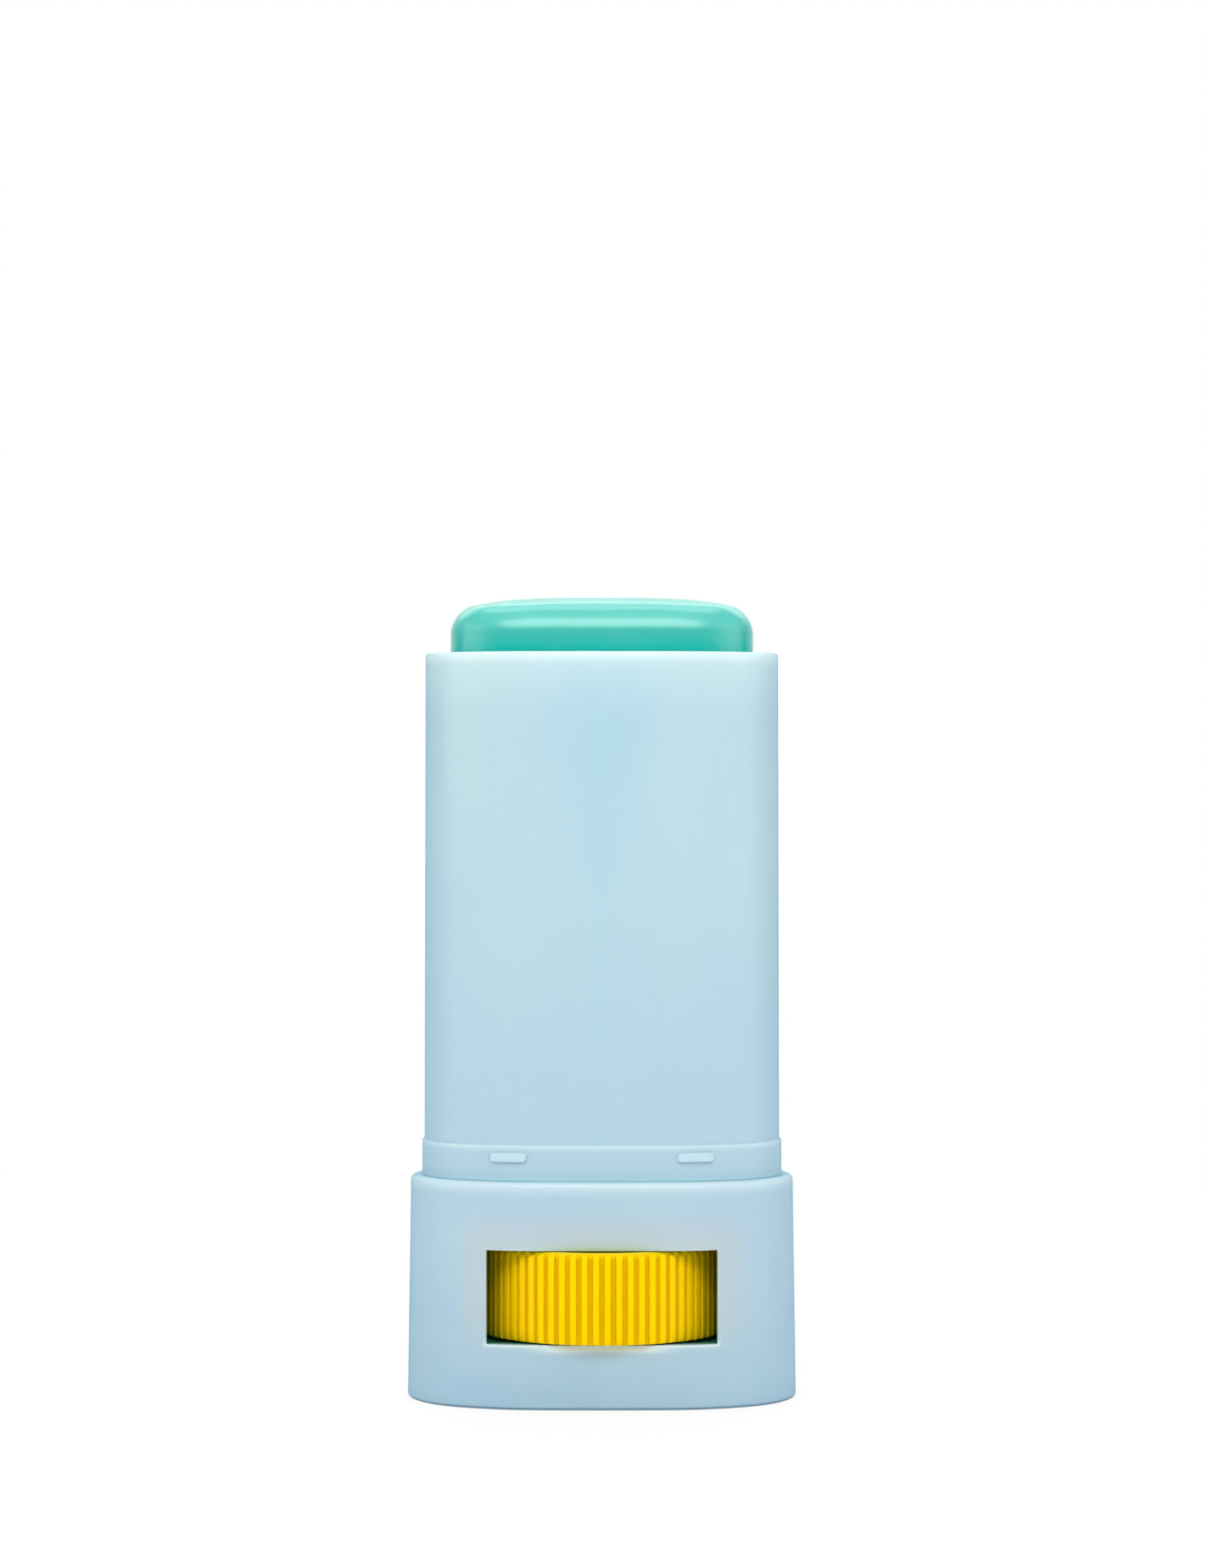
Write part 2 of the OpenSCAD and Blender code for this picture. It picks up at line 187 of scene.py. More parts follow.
class Oval:
    """The outline of the foot: three arcs in each quarter, touching each other.

    The end arc's centre lies on x, the face arc's on y. The corner arc's centre is where circles about
    those two, with radii corner - end and face - corner, cross. An inset moves every point along its normal.
    """

    def __init__(self, s):
        high = boxes["base"][1]
        self.half_w = high.x
        self.half_d = high.y
        self.radii = np.array([s.end_r, s.corner_r, s.face_r])
        end = np.array([self.half_w - s.end_r, 0.0])
        face = np.array([0.0, self.half_d - s.face_r])
        gap = np.linalg.norm(end - face)
        ahead = (end - face) / gap
        reach = s.face_r - s.corner_r
        span = s.corner_r - s.end_r
        along = (reach**2 - span**2 + gap**2) / (2 * gap)
        corner = face + along * ahead + math.sqrt(reach**2 - along**2) * np.array([-ahead[1], ahead[0]])
        self.centres = np.array([end, corner, face])
        self.joints = (
            math.atan2(*(end - corner)[::-1]),
            math.atan2(*(corner - face)[::-1]),
        )

    def columns(self, inset, stops, counts):
        """Normal angles in one quarter, from the end to the face, one row for each inset.

        counts gives the steps in the end arc, between the stops on the corner arc, and in the face arc.
        A stop is an x that a column keeps at every inset, so that straight upright edges stay straight.
        """
        inset = np.atleast_1d(inset).astype(float)[:, None]
        centre = self.centres[1, 0]
        r = self.radii[1] - inset
        marks = [np.zeros_like(inset), np.full_like(inset, self.joints[0])]
        marks += [np.arccos((x - centre) / r) for x in stops]
        marks += [np.full_like(inset, self.joints[1]), np.full_like(inset, math.pi / 2)]
        parts = [marks[k] + (marks[k + 1] - marks[k]) * np.arange(n) / n for k, n in enumerate(counts)]
        return np.concatenate(parts + [marks[-1]], axis=1)

    def rings(self, z, inset, stops=(), counts=(12, 12, 6)):
        """Rings of points at heights z and insets from the foot's outline, against the clock from +X."""
        z, inset = np.broadcast_arrays(np.atleast_1d(z).astype(float), np.atleast_1d(inset).astype(float))
        angle = self.columns(inset, stops, counts)
        kind = (angle > self.joints[0] - HAIR).astype(int) + (angle > self.joints[1] - HAIR)
        r = self.radii[kind] - inset[:, None]
        x = self.centres[kind, 0] + r * np.cos(angle)
        y = self.centres[kind, 1] + r * np.sin(angle)
        x[:, -1] = 0
        y[:, 0] = 0
        ring_x = np.concatenate([x[:, :-1], -x[:, :0:-1], -x[:, :-1], x[:, :0:-1]], axis=1)
        ring_y = np.concatenate([y[:, :-1], y[:, :0:-1], -y[:, :-1], -y[:, :0:-1]], axis=1)
        return np.stack([ring_x, ring_y, np.broadcast_to(z[:, None], ring_x.shape)], axis=2)


def turned(angle, z, r):
    """Rings of radius r at heights z, with a point at each angle. r may be a table of rows and columns."""
    z = np.atleast_1d(z).astype(float)[:, None]
    r = np.asarray(r, float)
    r = r[:, None] if r.ndim == 1 else r
    x, y, z = np.broadcast_arrays(r * np.cos(angle), r * np.sin(angle), z + 0 * angle)
    return np.stack([x, y, z], axis=2)


def squared(angle, z, w):
    """Rings that are squares of width w: the radius is half of w over the larger of |cos| and |sin|."""
    return turned(angle, z, w / 2 / np.maximum(abs(np.cos(angle)), abs(np.sin(angle)))[None, :])


def fillet(z, inset, r, start, end, steps):
    """Heights and insets along a rounded edge: z + r sin a and inset + r (1 - cos a), a in degrees."""
    a = np.radians(np.linspace(start, end, steps + 1))
    return np.array([z + r * np.sin(a), inset + r * (1 - np.cos(a))]).T


def straight(z0, z1, t0, t1, steps):
    """Heights and insets along a straight stretch, without its first point."""
    f = np.arange(1, steps + 1) / steps
    return np.array([z0 + (z1 - z0) * f, t0 + (t1 - t0) * f]).T


def outward(xy):
    """Outward directions in plan, from the rings' own tangents turned by a quarter."""
    along = np.roll(xy, -1, axis=1) - np.roll(xy, 1, axis=1)
    along /= np.linalg.norm(along, axis=2, keepdims=True)
    return np.stack([along[..., 1], -along[..., 0]], axis=2)


def grid_faces(rows, cols, wrap):
    """Quads of a grid that is closed around its columns, and around its rows if wrap is true."""
    r = np.arange(rows if wrap else rows - 1)[:, None]
    c = np.arange(cols)[None, :]
    up = (r + 1) % rows
    on = (c + 1) % cols
    return np.stack([r * cols + c, r * cols + on, up * cols + on, up * cols + c], axis=2)


def strip(first, second):
    """Quads between two lines of vertex numbers, facing first x (second - first)."""
    return np.stack([first[:-1], first[1:], second[1:], second[:-1]], axis=1)


def solid(name, points, wrap=False, keep=None, extra=(), islands=(), sharp=30.0, mark=None):
    """A closed mesh from rings of points. Without wrap, its first and last rings close to their middles.

    keep says which quads stay, extra adds quads between vertices, islands adds further closed grids, and
    mark is a table of values for the points, kept as an attribute that the material reads.
    """
    rows, cols = points.shape[:2]
    faces = grid_faces(rows, cols, wrap)
    quads = [faces.reshape(-1, 4) if keep is None else faces[keep]] + list(extra)
    verts = [points.reshape(-1, 3)]
    tris = []
    count = rows * cols
    if not wrap:
        ring = np.arange(cols)
        on = (ring + 1) % cols
        last = (rows - 1) * cols
        verts.append(np.array([points[0].mean(0), points[-1].mean(0)]))
        tris.append(np.stack([on, ring, np.full(cols, count)], axis=1))
        tris.append(np.stack([last + ring, last + on, np.full(cols, count + 1)], axis=1))
        count += 2
    for island in islands:
        m, n = island.shape[:2]
        quads.append(grid_faces(m, n, False).reshape(-1, 4) + count)
        ends = np.arange(n)
        quads.append(ends[::-1][None, :] + count)
        quads.append(ends[None, :] + count + (m - 1) * n)
        verts.append(island.reshape(-1, 3))
        count += m * n
    polygons = np.concatenate(quads).tolist()
    if tris:
        polygons += np.concatenate(tris).tolist()
    mesh = bpy.data.meshes.new(name)
    mesh.from_pydata(np.concatenate(verts).tolist(), [], polygons)
    mesh.update()
    mesh.polygons.foreach_set("use_smooth", np.ones(len(mesh.polygons), bool))
    mesh.set_sharp_from_angle(angle=math.radians(sharp))
    if mark is not None:
        values = np.zeros(len(mesh.vertices), np.float32)
        values[:rows * cols] = np.broadcast_to(mark, (rows, cols)).ravel()
        mesh.attributes.new("mark", "FLOAT", "POINT").data.foreach_set("value", values)
    obj = bpy.data.objects.new(name, mesh)
    bpy.context.scene.collection.objects.link(obj)
    return obj


def dress(obj, material, body, node):
    """Gives a piece its material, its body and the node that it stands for."""
    obj.data.materials.append(material)
    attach(obj, body)
    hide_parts(node)
    return obj


def soften(obj, width, angle=50.0):
    """A narrow bevel on the piece's sharp edges, as every mould leaves."""
    bevel = obj.modifiers.new("Edge", "BEVEL")
    bevel.width = width
    bevel.segments = 2
    bevel.limit_method = "ANGLE"
    bevel.angle_limit = math.radians(angle)
    bevel.harden_normals = True


def linear(hex_value):
    """An sRGB hex value as linear red, green, blue and alpha."""
    c = np.array([int(hex_value[i:i + 2], 16) for i in (0, 2, 4)]) / 255
    c = np.where(c <= 0.04045, c / 12.92, ((c + 0.055) / 1.055) ** 2.4)
    return (*c.tolist(), 1.0)


def add(tree, kind, inputs=None, **settings):
    """Adds a node. Settings are its attributes; inputs are values, or sockets to link, by name or number."""
    node = tree.nodes.new("ShaderNode" + kind)
    for key, value in settings.items():
        setattr(node, key, value)
    for key, value in (inputs or {}).items():
        socket = node.inputs[key]
        if isinstance(value, bpy.types.NodeSocket):
            tree.links.new(value, socket)
        else:
            socket.default_value = value
    return node


def material(name):
    """An empty node material, and the place in object coordinates in mm, whole and as |X|, |Y| and |Z|."""
    mat = bpy.data.materials.new(name)
    mat.use_nodes = True
    tree = mat.node_tree
    tree.nodes.clear()
    at = add(tree, "TexCoord").outputs["Object"]
    place = add(tree, "VectorMath", {0: at, "Scale": 1 / MM}, operation="SCALE").outputs[0]
    folded = add(tree, "VectorMath", {0: place}, operation="ABSOLUTE").outputs[0]
    x, y, z = add(tree, "SeparateXYZ", {0: folded}).outputs
    return SimpleNamespace(mat=mat, tree=tree, place=place, x=x, y=y, z=z)


def region(m, most, *steps):
    """How much of a layer shows: most, times a smooth step of each quantity. A step is none up to its
    first value and full from its second."""
    weight = most
    for quantity, none, full in steps:
        inputs = {"Value": quantity, "From Min": none, "From Max": full}
        step = add(m.tree, "MapRange", inputs, interpolation_type="SMOOTHSTEP").outputs[0]
        weight = add(m.tree, "Math", {0: step, 1: weight}, operation="MULTIPLY").outputs[0]
    return weight


def clouds(m, most, size, edges, stretch=(1, 1, 1)):
    """How much of a layer shows in soft clouds about size mm across, stretched by the given factors."""
    place = add(m.tree, "VectorMath", {0: m.place, 1: stretch}, operation="DIVIDE").outputs[0]
    noise = add(m.tree, "TexNoise", {"Vector": place, "Scale": 1 / size, "Detail": 2.0, "Roughness": 0.5})
    return region(m, most, (noise.outputs["Fac"], *edges))


def layered(m, ground, *layers):
    """The ground colour with each layer's colour laid over it by its weight, in order."""
    colour = linear(ground)
    for weight, over in layers:
        mixed = add(m.tree, "Mix", {0: weight, 6: colour, 7: linear(over)}, data_type="RGBA")
        colour = mixed.outputs[2]
    return colour


def surface(m, colour, size, roughness, relief, sockets, detail=1.0):
    """Closes a material. A grain of that size in mm moves the roughness between two values and stands up by
    relief mm. Sockets are the shader's values that are the same all over."""
    inputs = {"Vector": m.place, "Scale": 1 / size, "Detail": detail, "Roughness": 0.5}
    grain = add(m.tree, "TexNoise", inputs).outputs["Fac"]
    span = {"Value": grain, "To Min": roughness[0], "To Max": roughness[1]}
    rough = add(m.tree, "MapRange", span).outputs[0]
    bump = add(m.tree, "Bump", {"Height": grain, "Strength": 1.0, "Distance": relief * MM}).outputs[0]
    inputs = {"Base Color": colour, "Roughness": rough, "Normal": bump, **sockets}
    shader = add(m.tree, "BsdfPrincipled", inputs)
    add(m.tree, "OutputMaterial", {"Surface": shader.outputs[0]})
    return m.mat


# Light goes a little way into this plastic. The tinted coat has next to no gloss of its own: like the skin
# of a see-through plastic it deepens the colour where the surface turns away.
SHELL_PLASTIC = {
    "IOR": 1.49,
    "Subsurface Weight": 0.35, "Subsurface Scale": 1.6 * MM, "Subsurface Radius": (1.0, 1.2, 1.4),
    "Coat Weight": 1.0, "Coat IOR": 1.01, "Coat Roughness": 0.4, "Coat Tint": (0.9, 0.945, 0.965, 1.0),
}
SHELL_GRAIN = {"size": 0.35, "roughness": (0.34, 0.42), "relief": 0.004, "sockets": SHELL_PLASTIC}


def window_heights(s):
    """Heights of the window's sill and head, from the wheel's box."""
    low, high = boxes["thumb_wheel"]
    return low.z - s.wheel_gap, high.z + s.wheel_head_gap


def window_distance(m, s):
    """Distance in mm from the window's outline, on the front and back, outside it: the length of the part
    of the place that lies beyond the window's half width and half height."""
    sill, head = window_heights(s)
    middle = Vector((0, 0, (sill + head) / 2)) / MM
    half = Vector((s.window_w, 0, head - sill)) / 2 / MM
    aside = add(m.tree, "VectorMath", {0: m.place, 1: middle}, operation="SUBTRACT").outputs[0]
    aside = add(m.tree, "VectorMath", {0: aside}, operation="ABSOLUTE").outputs[0]
    beyond = add(m.tree, "VectorMath", {0: aside, 1: half}, operation="SUBTRACT").outputs[0]
    beyond = add(m.tree, "VectorMath", {0: beyond, 1: (0, 0, 0)}, operation="MAXIMUM").outputs[0]
    beyond = add(m.tree, "VectorMath", {0: beyond, 1: (1, 0, 1)}, operation="MULTIPLY").outputs[0]
    return add(m.tree, "VectorMath", {0: beyond}, operation="LENGTH").outputs["Value"]


def base_material(s, c):
    """Moulded polypropylene, satin and slightly see-through, deeper blue towards the foot, with painted
    light and shade: a highlight at the thin shoulder edge, grey around the window where the wheel's yellow
    light comes through the wall, yellow where the wheel shines into it, and deep green shade inside the bay."""
    m = material("Base, satin moulded polypropylene")
    top = boxes["base"][1].z / MM
    sill = window_heights(s)[0] / MM
    away = window_distance(m, s)
    in_bay = add(m.tree, "Attribute", attribute_name="mark").outputs["Fac"]
    # steps that keep a layer to the front and back, below the window, and near the wheel's middle
    on_face = (m.y, 7.6, 8.6)
    under = (m.z, sill + 0.6, sill)
    by_wheel = (m.x, 8.5, 2.5)
    colour = layered(
        m, c.shell,
        (region(m, 1.0, (m.z, top - 3, 0.0)), c.shell_low),
        (clouds(m, 0.25, 9, (0.35, 0.75), (1, 1, 0.7)), c.barrel_cyan),
        # painted light: the wheel's yellow light through the wall, grey-beige around the window
        (region(m, 0.44, (away, 4.5, 0.2), (m.z, sill - 1.5, sill + 3), on_face), c.wheel_light_halo),
        (region(m, 0.1, (away, 4.5, 0.2), on_face), c.wheel_light_halo),
        (region(m, 0.6, (away, 0.45, 0.1), under, on_face), c.edge),
        (region(m, 0.5, (away, 0.8, 0.0), (m.z, sill, sill + 3), by_wheel, on_face), c.glow),
        (region(m, 0.9, (away, 1.0, 0.4), under, by_wheel, on_face), c.sill_glow),
        (region(m, 0.45, (m.z, top - 1.5, top - 0.2)), c.edge),
        (region(m, 1.0, (m.z, 0.35, 0.05)), c.foot),
        # painted shade on every inner surface of the base, around the wheel bay
        (region(m, 1.0, (in_bay, 0.0, 0.7)), c.bay),
    )
    return surface(m, colour, **SHELL_GRAIN)


def barrel_material(s, c):
    """The same polypropylene over a thicker tube: clouds of a greener and a bluer cast, a painted reflection
    as a faint bluer wedge down the middle from the rim, light caught in the thin rim, the ledge and the lugs,
    and a deeper blue where the collar goes down behind the base, above a thin line of light in the seam."""
    m = material("Barrel, satin moulded polypropylene")
    rim = boxes["barrel"][1].z / MM
    shoulder = boxes["base"][1].z / MM
    ledge = shoulder + s.collar_h / MM
    on_lug = add(m.tree, "Attribute", attribute_name="mark").outputs["Fac"]
    wedge = {"Value": m.z, "From Min": rim - 26, "From Max": rim - 3, "To Min": 0.5, "To Max": 6.5}
    wedge = add(m.tree, "MapRange", wedge).outputs[0]
    outside = add(m.tree, "Math", {0: m.x, 1: wedge}, operation="SUBTRACT").outputs[0]
    colour = layered(
        m, c.barrel,
        (clouds(m, 0.7, 14, (0.35, 0.7), (1, 1, 1.6)), c.barrel_cyan),
        (region(m, 0.8, (m.z, rim - 15, shoulder)), c.barrel_lilac),
        # painted reflection down the middle, narrowing from the rim downwards
        (region(m, 0.4, (outside, 1.5, -4.0)), c.barrel_reflection),
        (region(m, 0.3, (m.z, rim - 7, rim)), c.edge),
        (region(m, 0.79, (m.z, rim - 1.4, rim - 0.1)), c.edge),
        (region(m, 0.45, (m.z, ledge - 0.7, ledge), (m.z, ledge + 0.1, ledge)), c.edge),
        (region(m, 0.3, (on_lug, 0.0, 1.0)), c.edge),
        (region(m, 0.3, (m.z, shoulder + 1.4, shoulder + 0.1)), c.collar_low),
        (region(m, 0.6, (m.z, shoulder + 0.45, shoulder + 0.1)), c.seam),
    )
    return surface(m, colour, **SHELL_GRAIN)


def wheel_material(c):
    """Coloured polypropylene, moulded: a strong warm yellow with a soft satin sheen, and a little browner
    down in the grooves, which is painted shade."""
    m = material("Wheel, moulded yellow polypropylene")
    flat = add(m.tree, "CombineXYZ", {0: m.x, 1: m.y}).outputs[0]
    out = add(m.tree, "VectorMath", {0: flat}, operation="LENGTH").outputs["Value"]
    r = boxes["thumb_wheel"][1].x / MM
    high = boxes["thumb_wheel"][1].z / MM
    colour = layered(
        m, c.wheel,
        (clouds(m, 0.12, 4, (0.4, 0.7)), c.wheel_warm),
        # painted shade down in the grooves, fading out towards the top
        (region(m, 1.0, (out, r - 0.05, r - 0.3), (m.z, high, high - 0.5)), c.groove_shade),
        (region(m, 1.0, (m.z, high - 0.5, high - 0.15)), c.wheel_top),
    )
    return surface(m, colour, 0.3, (0.38, 0.48), 0.003, {
        "IOR": 1.49, "Subsurface Weight": 0.15, "Subsurface Scale": 0.8 * MM,
        "Subsurface Radius": (1.0, 0.7, 0.1), "Specular Tint": (1.0, 0.75, 0.02, 1.0),
    })


def natural_material(c):
    """Uncoloured polypropylene, moulded: milky white, a little see-through, satin, cloudy where it flowed."""
    m = material("Spindle and carrier, natural polypropylene")
    colour = layered(m, c.natural, (clouds(m, 0.6, 3, (0.4, 0.7), (1, 1, 2)), c.natural_grey))
    return surface(m, colour, 0.5, (0.4, 0.5), 0.003, {
        "IOR": 1.49, "Subsurface Weight": 0.3, "Subsurface Scale": 1.5 * MM,
    })


def balm_material(c):
    """Cast wax balm: light goes in and comes out softer, the surface is smooth with a soft gloss. It is
    deeper down at the rim, which is painted shade, and paler up on the dome, which is painted light."""
    m = material("Balm, cast turquoise wax")
    rim = boxes["barrel"][1].z / MM
    colour = layered(
        m, c.balm,
        # painted shade low on the balm, painted light over the dome, then faint clouds in the wax
        (region(m, 1.0, (m.z, rim + 2.2, rim - 0.2)), c.balm_low_shade),
        (region(m, 0.9, (m.z, rim + 1.8, rim + 3.4)), c.balm_lit_and_clouds),
        (clouds(m, 0.1, 5, (0.4, 0.7)), c.balm_lit_and_clouds),
    )
    return surface(m, colour, 3.5, (0.22, 0.26), 0.0012, {
        "IOR": 1.62, "Subsurface Weight": 0.4, "Subsurface Scale": 1.5 * MM,
        "Subsurface Radius": (0.5, 1.0, 0.95),
    }, detail=2.0)


def sizes():
    """The stick's sizes and colours, from the scene's properties."""
    scene = bpy.context.scene
    return scene.stick_sizes, scene.stick_colours


class STICK_OT_base(bpy.types.Operator):
    """Moulded base: drafted oval shell with two windows, a floor, a seat ring and a pin"""

    bl_idname = "stick.base"
    bl_label = "Base"

    def execute(self, context):
        s, c = sizes()
        oval = Oval(s)
        top = boxes["base"][1].z
        sill, head = window_heights(s)
        floor = sill - s.floor_drop
        seat = sill + s.wheel_gap - s.end_gap
        pin_top = boxes["spindle"][0].z - s.end_gap - s.hub_web - s.pin_end_gap
        counts = (16, 6, 10, 10)
        window_rows = 6
        lean = s.base_draft / (top - s.shoulder_r - s.foot_r)

        def inset(z):
            return (z - s.foot_r) * lean

        ceiling = floor - s.floor_t
        ceiling_in = 0.2 * MM
        floor_in = 0.1 * MM
        rim_in = 0.25 * MM
        rim_mid = 0.07 * MM
        groove_low = top - s.bead_below - s.bead_h - s.push_gap
        groove_high = top - s.bead_below + s.push_gap
        groove_t = s.base_wall - s.bead_proud
        outline = [
            np.array([[ceiling, s.recess_wall + ceiling_in], [ceiling - ceiling_in, s.recess_wall]]),
            straight(ceiling - ceiling_in, rim_in, s.recess_wall, s.recess_wall, 3),
            np.array([[rim_mid, s.recess_wall - rim_mid], [0, s.recess_wall - rim_in]]),
            fillet(s.foot_r, 0, s.foot_r, -90, 0, 6),
            straight(s.foot_r, sill, 0, inset(sill), 6),
        ]
        sill_row = sum(map(len, outline)) - 1
        head_row = sill_row + window_rows
        outline += [
            straight(sill, head, inset(sill), inset(head), window_rows),
            straight(head, top - s.shoulder_r, inset(head), s.base_draft, 6),
            fillet(top - s.shoulder_r, s.base_draft, s.shoulder_r, 0, 90, 8)[1:],
            straight(top, top, s.base_draft + s.shoulder_r, s.base_wall, 2),
            np.array([
                [groove_high, s.base_wall], [groove_high, groove_t],
                [groove_low, groove_t], [groove_low, s.base_wall],
            ]),
        ]
        inner_head = sum(map(len, outline))
        outline += [
            np.array([[head, s.base_wall]]),
            straight(head, sill, s.base_wall, s.base_wall, window_rows),
            np.array([[floor + floor_in, s.base_wall], [floor, s.base_wall + floor_in]]),
        ]
        inner_sill = inner_head + window_rows
        path = np.concatenate(outline)
        rings = oval.rings(path[:, 0], path[:, 1], [s.window_w / 2], counts)
        angle = np.arctan2(rings[0, :, 1] * oval.half_w / oval.half_d, rings[0, :, 0])
        pin = turned(
            angle,
            [floor, seat, seat, pin_top - s.pin_bevel, pin_top],
            [s.hub_d / 2, s.hub_d / 2, s.pin_d / 2, s.pin_d / 2, s.pin_d / 2 - s.pin_bevel],
        )
        points = np.concatenate([rings, pin])
        rows, cols = points.shape[:2]
        keep = np.ones((rows - 1, cols), bool)
        jambs = []
        half = counts[2] + counts[3]
        quarter = sum(counts)
        for middle in (quarter, 3 * quarter):
            left = middle - half
            right = middle + half
            keep[sill_row:head_row, left:right] = False
            keep[inner_head:inner_sill, left:right] = False
            across = np.arange(left, right + 1)
            up = np.arange(sill_row, head_row + 1)
            down = inner_sill - np.arange(head_row - sill_row + 1)
            jambs.append(strip(sill_row * cols + across, inner_sill * cols + across))
            jambs.append(strip(inner_head * cols + across, head_row * cols + across))
            jambs.append(strip(down * cols + left, up * cols + left))
            jambs.append(strip(up * cols + right, down * cols + right))
        # the inner surfaces carry the mark for the painted shade of the bay
        inside = (np.arange(rows) >= inner_head).astype(float)[:, None]
        shell = solid("base_shell", points, keep=keep, extra=jambs, sharp=35.0, mark=inside)
        soften(shell, 0.06 * MM)
        dress(shell, base_material(s, c), "shell", "base")
        return {"FINISHED"}


def lug_relief(points, s, collar_top):
    """How far the collar swells at each point: a lug's height inside a rectangle with round corners.

    The distance to the rectangle is the length of the part of (|x|, |z|) beyond it, less its corner radius.
    """
    soft = 0.06 * MM
    middle = collar_top - s.lug_below - s.lug_h / 2
    dx = abs(abs(points[..., 0]) - s.lug_x) - (s.lug_w / 2 - s.lug_r)
    dz = abs(points[..., 2] - middle) - (s.lug_h / 2 - s.lug_r)
    out = np.hypot(np.maximum(dx, 0), np.maximum(dz, 0)) + np.minimum(np.maximum(dx, dz), 0) - s.lug_r
    f = np.clip(0.5 - out / (2 * soft), 0, 1)
    return s.lug_proud * f * f * (3 - 2 * f)


class STICK_OT_barrel(bpy.types.Operator):
    """Moulded barrel: oval tube with a rounded rim, a collar with four cap lugs, a plug and a web"""

    bl_idname = "stick.barrel"
    bl_label = "Barrel"

    def execute(self, context):
        s, c = sizes()
        oval = Oval(s)
        lo, hi = boxes["barrel"]
        shoulder = boxes["base"][1].z
        web = lo.z
        rim = hi.z
        collar_top = shoulder + s.collar_h
        collar_t = oval.half_w - hi.x
        side_t = collar_t + s.collar_step
        rim_t = side_t + s.barrel_draft
        bore_t = rim_t + s.barrel_wall
        plug_t = s.base_wall + s.push_gap
        bead_low = shoulder - s.bead_below - s.bead_h
        bead_high = shoulder - s.bead_below
        above_lug = 0.1 * MM
        beside_lug = 0.15 * MM
        lug_high = collar_top - s.lug_below + above_lug
        lug_low = lug_high - s.lug_h - 2 * above_lug
        lug_out = s.lug_x + s.lug_w / 2 + beside_lug
        lug_in = s.lug_x - s.lug_w / 2 - beside_lug
        plug_bevel = 0.3 * MM
        ledge_up = 0.05 * MM
        ledge_out = 0.02 * MM
        inner_r = 0.2 * MM
        outline = np.concatenate([
            np.array([
                [web, plug_t + plug_bevel], [web + plug_bevel, plug_t], [bead_low, plug_t],
                [bead_low, plug_t - s.bead_proud], [bead_high, plug_t - s.bead_proud], [bead_high, plug_t],
                [shoulder, plug_t], [shoulder, collar_t],
            ]),
            straight(shoulder, lug_low, collar_t, collar_t, 4),
            straight(lug_low, lug_high, collar_t, collar_t, 24),
            straight(lug_high, collar_top - s.collar_r, collar_t, collar_t, 3),
            fillet(collar_top - s.collar_r, collar_t, s.collar_r, 0, 90, 5)[1:],
            np.array([[collar_top, side_t - ledge_out], [collar_top + ledge_up, side_t]]),
            straight(collar_top + ledge_up, rim - s.rim_r, side_t, rim_t, 16),
            fillet(rim - s.rim_r, rim_t, s.rim_r, 0, 90, 6)[1:],
            straight(rim, rim, rim_t + s.rim_r, bore_t - inner_r, 2),
            fillet(rim - inner_r, bore_t, -inner_r, -90, 0, 5)[1:],
            straight(rim - inner_r, web + s.web_t, bore_t, bore_t, 10),
        ])
        rings = oval.rings(outline[:, 0], outline[:, 1], [lug_out, lug_in], (16, 5, 44, 4, 8))
        on_collar = abs(outline[:, 1] - collar_t)[:, None] < 0.001 * MM
        relief = np.where(on_collar, lug_relief(rings, s, collar_top), 0)
        rings[..., :2] += outward(rings[..., :2]) * relief[..., None]
        angle = np.arctan2(rings[0, :, 1] * oval.half_w / oval.half_d, rings[0, :, 0])
        neck_r = s.neck_d / 2 + s.run_gap
        neck = turned(angle, [web + s.web_t, web], [neck_r, neck_r])
        on_lug = np.concatenate([relief, np.zeros((2, relief.shape[1]))]) / s.lug_proud
        tube = solid("barrel_tube", np.concatenate([rings, neck]), wrap=True, sharp=40.0, mark=on_lug)
        soften(tube, 0.04 * MM, 60.0)
        dress(tube, barrel_material(s, c), "shell", "barrel")
        return {"FINISHED"}


